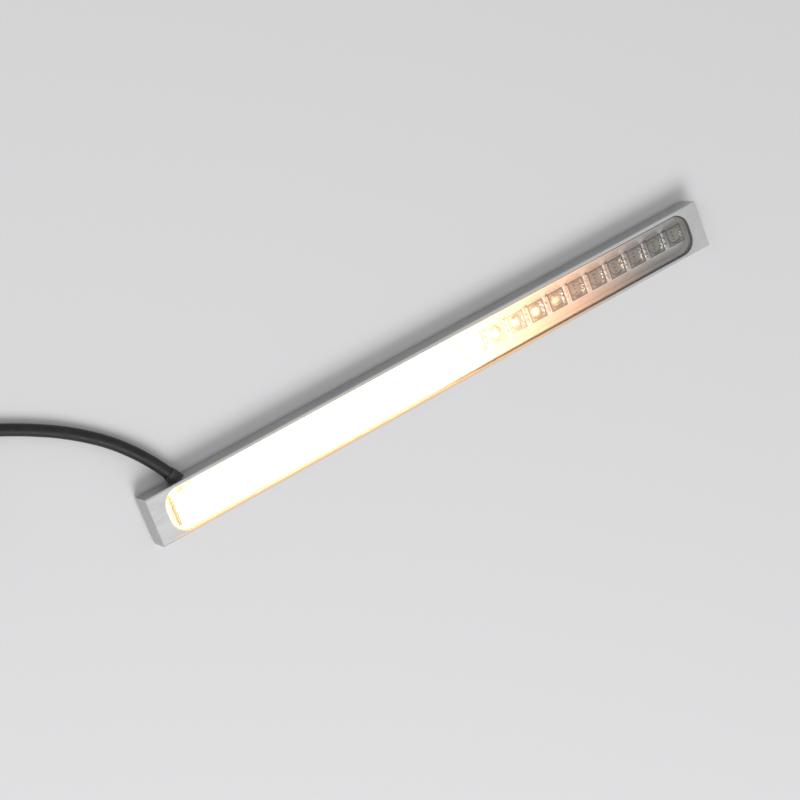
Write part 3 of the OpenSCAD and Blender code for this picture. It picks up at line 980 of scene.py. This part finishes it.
rubber = sheath_finish("sleeve_rubber", sleeve_black, 0.6, sleeve_grain)
sleeve = turned_part("sleeve", sleeve_rings, 48)
edit()
bpy.ops.mesh.select_all(action="SELECT")
bpy.ops.mesh.remove_doubles(threshold=0.002 * mm)
bpy.ops.mesh.normals_make_consistent(inside=False)
edit(False)
lie_down = Matrix.Rotation(-math.pi / 2, 4, "X")
on_axis = Matrix.Translation(cable_exit) @ Matrix.Rotation(exit_angle, 4, "Z") @ lie_down
sleeve.data.transform(on_axis)
bpy.ops.object.shade_smooth_by_angle(angle=math.radians(40))
set_down(sleeve, rubber, "sleeve_rubber", "cable_sleeve")


# The cores and their solder joints
# Inside the bar the cable's red and black cores bend to run along the board, each to a
# dome of solder, with a little bare wire between its insulation and the dome.
core_d = 1.0
core_apart = 1.1
core_back = 0.1
core_lift = 0.35
core_z = board_top + core_d / 2
core_rise = 0.6
bend_steps = 8
bare_from = 1.1
bare_overlap = 0.05
bare_d = 0.5
bare_dip = 0.12
bare_stop = 0.1
red_joint = (-70.4, 4.15)
black_joint = (-77.0, 3.25)
dome_rings = [(0, 0.8), (0.08, 0.66), (0.2, 0.56), (0.36, 0.5), (0.54, 0.42), (0.68, 0.28), (0.76, 0.12)]
core_red = (0.50, 0.02, 0.016)
core_black = (0.02, 0.02, 0.022)
core_grain = 0.12 * mm

red_plastic = sheath_finish("red_insulation", core_red, 0.38, core_grain)
black_plastic = sheath_finish("black_insulation", core_black, 0.38, core_grain)
core_start = sheath_end / mm - core_back * outward + Vector((0, 0, core_lift))


def core_route(start, joint_y, end_x, side):
    """A round bend from the cable's axis to the line of the joint, and on to its wire."""
    radius = (start.y - joint_y) / (1 - side * math.sin(exit_angle))
    middle = start + side * radius * across
    angle_from = math.pi + exit_angle if side > 0 else exit_angle
    angle_to = 1.5 * math.pi if side > 0 else -0.5 * math.pi
    points = []
    for step in range(bend_steps + 1):
        share = step / bend_steps
        angle = angle_from + share * (angle_to - angle_from)
        x = middle.x + radius * math.cos(angle)
        y = middle.y + radius * math.sin(angle)
        height = start.z + min(1, share / core_rise) * (core_z - start.z)
        points.append(Vector((x, y, height)))
    points.append(Vector((end_x, joint_y, core_z)))
    return points


domes = []
for name, finish, slot, side, joint in (
    ("red_core", red_plastic, "red_insulation", 1, red_joint),
    ("black_core", black_plastic, "black_insulation", -1, black_joint),
):
    joint_x, joint_y = joint
    start = core_start + side * core_apart / 2 * across
    route = core_route(start, joint_y, joint_x - side * bare_from, side)
    core = to_mesh(curve_piece(name + "_wire", [point * mm for point in route], core_d * mm))
    set_down(core, finish, slot, name)
    end = Vector((joint_x - side * (bare_from + bare_overlap), joint_y, core_z)) * mm
    into = Vector((joint_x - side * bare_stop, joint_y, core_z - bare_dip)) * mm
    stub = curve_piece("stub", [end, (end + into) / 2, into], bare_d * mm)
    stub.data.materials.append(tin)
    domes.append(to_mesh(stub))
    dome = turned_part("dome", dome_rings, 24)
    edit()
    bpy.ops.mesh.edge_face_add()
    edit(False)
    bpy.ops.object.shade_smooth()
    dome.data.transform(Matrix.Translation(Vector((joint_x, joint_y, board_top)) * mm))
    dome.data.materials.append(tin)
    domes.append(dome)
dome = joined("solder_domes", *domes)
set_down(dome, None, "tinned_metal", "solder_joints")


# The lens seal
# A thin bead of black sealing compound all round the lens, slightly rounded on top.
window_radius = 4.2
bead_width = 0.3
seal_foot = 5.45
seal_top = 6.15
upper_side = (4.0, 5.0)
bead_painted_glow = 1.7
bead_dark = (0.024, 0.022, 0.022)
bead_pale = (0.07, 0.062, 0.06)

bead, bead_shader, add = new_finish("seal_rubber")
uneven = noise_on(add, [1.2 * mm, 0.4 * mm, 0.4 * mm])
feed(bead_shader, "Roughness", spread(add, uneven, 0.4, 0.6))
toned(add, bead_shader, uneven, bead_dark, bead_pale)
bumped(add, bead_shader, uneven, 0.03 * mm)
# Painted light: the lamp's glow is painted on the bead, up to twice as strong on its upper side
light_up(add, bead_shader, bead_painted_glow, rise(add, place_on(add)["Y"], *upper_side, 1, 2))
lens_half = [half - bead_width for half in pocket_half]
lens_radius = window_radius - bead_width
seal = plate("seal_bead", pocket_half, seal_foot, seal_top)
round_corners(seal, window_radius, 12)
hole = plate("hole", lens_half, seal_foot - 1, seal_top + 1)
round_corners(hole, lens_radius, 12)
cut(seal, hole)
soften(seal, 0.07)
set_down(seal, bead, "seal_rubber", "lens_seal")


# The lens
# A clear plate with large round corners, 0.2 mm below the face, with a step that locates
# it in the pocket. Its top is glossy and very slightly uneven.
lens_top = 6.3
lens_seat = 4.9
step_inset = 0.2
step_depth = 0.3
lens_ior = 1.49
lens_clear = (0.86, 0.88, 0.90)
pane_tint = (0.95, 0.955, 0.95)
inner_tint = (0.98, 0.98, 0.975)
lens_painted_glow = 18.0
veil_end = (-77.9, -77.3)
veil_side = (-4.85, -4.6)
rim_middle_x = -76.8
rim_middle_y = 1.3
rim_line = (3.35, 3.6)
rim_level = 0.2
rim_stop = (-77.2, -76.8)
clear_haze = 0.04

clear, clear_shader, add = new_finish("clear_lens", lens_clear)
clear_shader.inputs["IOR"].default_value = lens_ior
waves = noise_on(add, [6 * mm, 2.5 * mm, 2.5 * mm], 2.0)
feed(clear_shader, "Roughness", spread(add, waves, 0.03, 0.1))
bumped(add, clear_shader, waves, 0.02 * mm)

# Painted light: a veil of glow lies over the board, and a thin painted bright line follows the lens's
# round wired end
place = place_on(add)
over_board = times(add, rise(add, place["X"], *veil_end), rise(add, place["Y"], *veil_side))
past_x = worked(add, "MINIMUM", worked(add, "SUBTRACT", place["X"], rim_middle_x * mm), 0.0)
aside = worked(add, "ABSOLUTE", place["Y"])
past_y = worked(add, "MAXIMUM", worked(add, "SUBTRACT", aside, rim_middle_y * mm), 0.0)
past_middle = add("CombineXYZ", {"X": past_x, "Y": past_y})[0]
out = add("VectorMath", {0: past_middle}, operation="LENGTH")["Value"]
end_line = times(add, rise(add, out, *rim_line, 0, rim_level), fall(add, place["X"], *rim_stop))
light_up(add, clear_shader, lens_painted_glow, worked(add, "MAXIMUM", over_board, end_line))
haze = plus(add, add("Fresnel", {"IOR": lens_ior})[0], clear_haze)
see_through(clear, clear_shader, add, haze, pane_tint)

inner_clear, inner_shader, add = new_finish("clear_lens_inner", lens_clear, 0.1)
faint = spread(add, noise_on(add, [6 * mm, 2.5 * mm, 2.5 * mm], 2.0), 0.01, 0.03)
see_through(inner_clear, inner_shader, add, faint, inner_tint)

lens = plate("lens_plate", lens_half, lens_seat, lens_top)
round_corners(lens, lens_radius, 12)
edit()
choose(lens, lambda middle, way: way.z < -0.9)
bpy.ops.mesh.inset(thickness=step_inset * mm)
bpy.ops.mesh.extrude_region_move(TRANSFORM_OT_translate={"value": (0, 0, -step_depth * mm)})
edit(False)
soften(lens, 0.1)
set_down(lens, clear, "clear_lens", "lens")
lens.data.materials.append(inner_clear)
for face in lens.data.polygons:
    face.material_index = 0 if face.normal.z > 0.5 else 1


# The cable's far end
# The sheath is stripped back from a red and a black lead, and their twisted strands are tinned.
red_route = [
    (-158.6, 10, 1.5),
    (-158.6, 9, 1.5),
    (-158.8, 6, 1.0),
    (-159, 3, 0.6),
    (-159, 0, 0.5),
    (-159, -2, 0.5),
]
black_route = [
    (-157.4, 10, 1.5),
    (-157.4, 9, 1.5),
    (-157, 6, 1.0),
    (-156.4, 3, 0.6),
    (-156.2, 0, 0.5),
    (-156.2, -2, 0.5),
]
tip_length = 4.0
tip_overlap = 0.1
strand_d = 0.24
strands_round = 6
strand_turns = 1.5
strand_steps = 12


def strand_points(middle, strand):
    """One strand of a lead's tip: six wind round a straight one, and close in a little."""
    points = []
    for step in range(strand_steps + 1):
        share = step / strand_steps
        angle = 2 * math.pi * (strand / strands_round + strand_turns * share)
        off = 0 if strand == strands_round else strand_d * (0.97 - 0.1 * share)
        x = middle.x + off * math.cos(angle)
        y = middle.y + tip_overlap - (tip_length + tip_overlap) * share
        z = middle.z + off * math.sin(angle)
        points.append(Vector((x, y, z)) * mm)
    return points


strands = []
for name, finish, slot, lead_route in (
    ("red_lead", red_plastic, "red_insulation", red_route),
    ("black_lead", black_plastic, "black_insulation", black_route),
):
    lead = curve_piece(name + "_wire", [Vector(point) * mm for point in lead_route], core_d * mm)
    set_down(lead, finish, slot, name)
    for strand in range(strands_round + 1):
        points = strand_points(Vector(lead_route[-1]), strand)
        strands.append(to_mesh(curve_piece("strand", points, strand_d * mm, 3, 1)))
tips = joined("tinned_tips", *strands)
set_down(tips, tin, "tinned_metal", "lead_tips")


# The floor and the light
# A plain pale floor, one large soft lamp in front of the bar, a weak one behind it, and an
# even pale sky.
floor_size = 6
floor_drop = 0.02 * mm
floor_grey = (0.64, 0.64, 0.65)
sky_white = (1, 1, 1, 1)
sky_strength = 0.5
backdrop_strength = 0.9

deselect()
bpy.ops.mesh.primitive_plane_add(size=floor_size, location=(0, 0, -floor_drop))
floor = bpy.context.object
floor.name = "floor"
floor.data.materials.append(new_finish("floor_paint", floor_grey, 0.7)[0])


def soft_lamp(name, place, size, power):
    """A square lamp that faces the part."""
    light = bpy.data.lights.new(name, "AREA")
    light.shape = "SQUARE"
    light.size = size
    light.energy = power
    lamp = bpy.data.objects.new(name, light)
    lamp.location = place
    lamp.rotation_mode = "QUATERNION"
    lamp.rotation_quaternion = Vector(place).to_track_quat("Z", "Y")
    bpy.context.scene.collection.objects.link(lamp)


soft_lamp("key_light", (-0.35, -0.75, 1.0), 0.7, 12.0)
soft_lamp("fill_light", (-0.9, 0.5, 0.9), 0.6, 1.5)

# The sky lights the part softly, and is brighter where it is seen or mirrored
world = bpy.data.worlds.new("sky")
world.use_nodes = True
bpy.context.scene.world = world
sky = world.node_tree
sky_light = sky.nodes["Background"]
sky_light.inputs["Color"].default_value = sky_white
sky_light.inputs["Strength"].default_value = sky_strength
sky_seen = sky.nodes.new("ShaderNodeBackground")
sky_seen.inputs["Color"].default_value = sky_white
sky_seen.inputs["Strength"].default_value = backdrop_strength
ray = sky.nodes.new("ShaderNodeLightPath")
seen = ray.outputs["Is Camera Ray"]
for kind in ("Is Glossy Ray", "Is Transmission Ray"):
    either = sky.nodes.new("ShaderNodeMath")
    either.operation = "MAXIMUM"
    sky.links.new(seen, either.inputs[0])
    sky.links.new(ray.outputs[kind], either.inputs[1])
    seen = either.outputs[0]
sky_mix = sky.nodes.new("ShaderNodeMixShader")
sky.links.new(seen, sky_mix.inputs[0])
sky.links.new(sky_light.outputs[0], sky_mix.inputs[1])
sky.links.new(sky_seen.outputs[0], sky_mix.inputs[2])
sky.links.new(sky_mix.outputs[0], sky.nodes["World Output"].inputs["Surface"])
bpy.context.scene.view_settings.view_transform = "Standard"
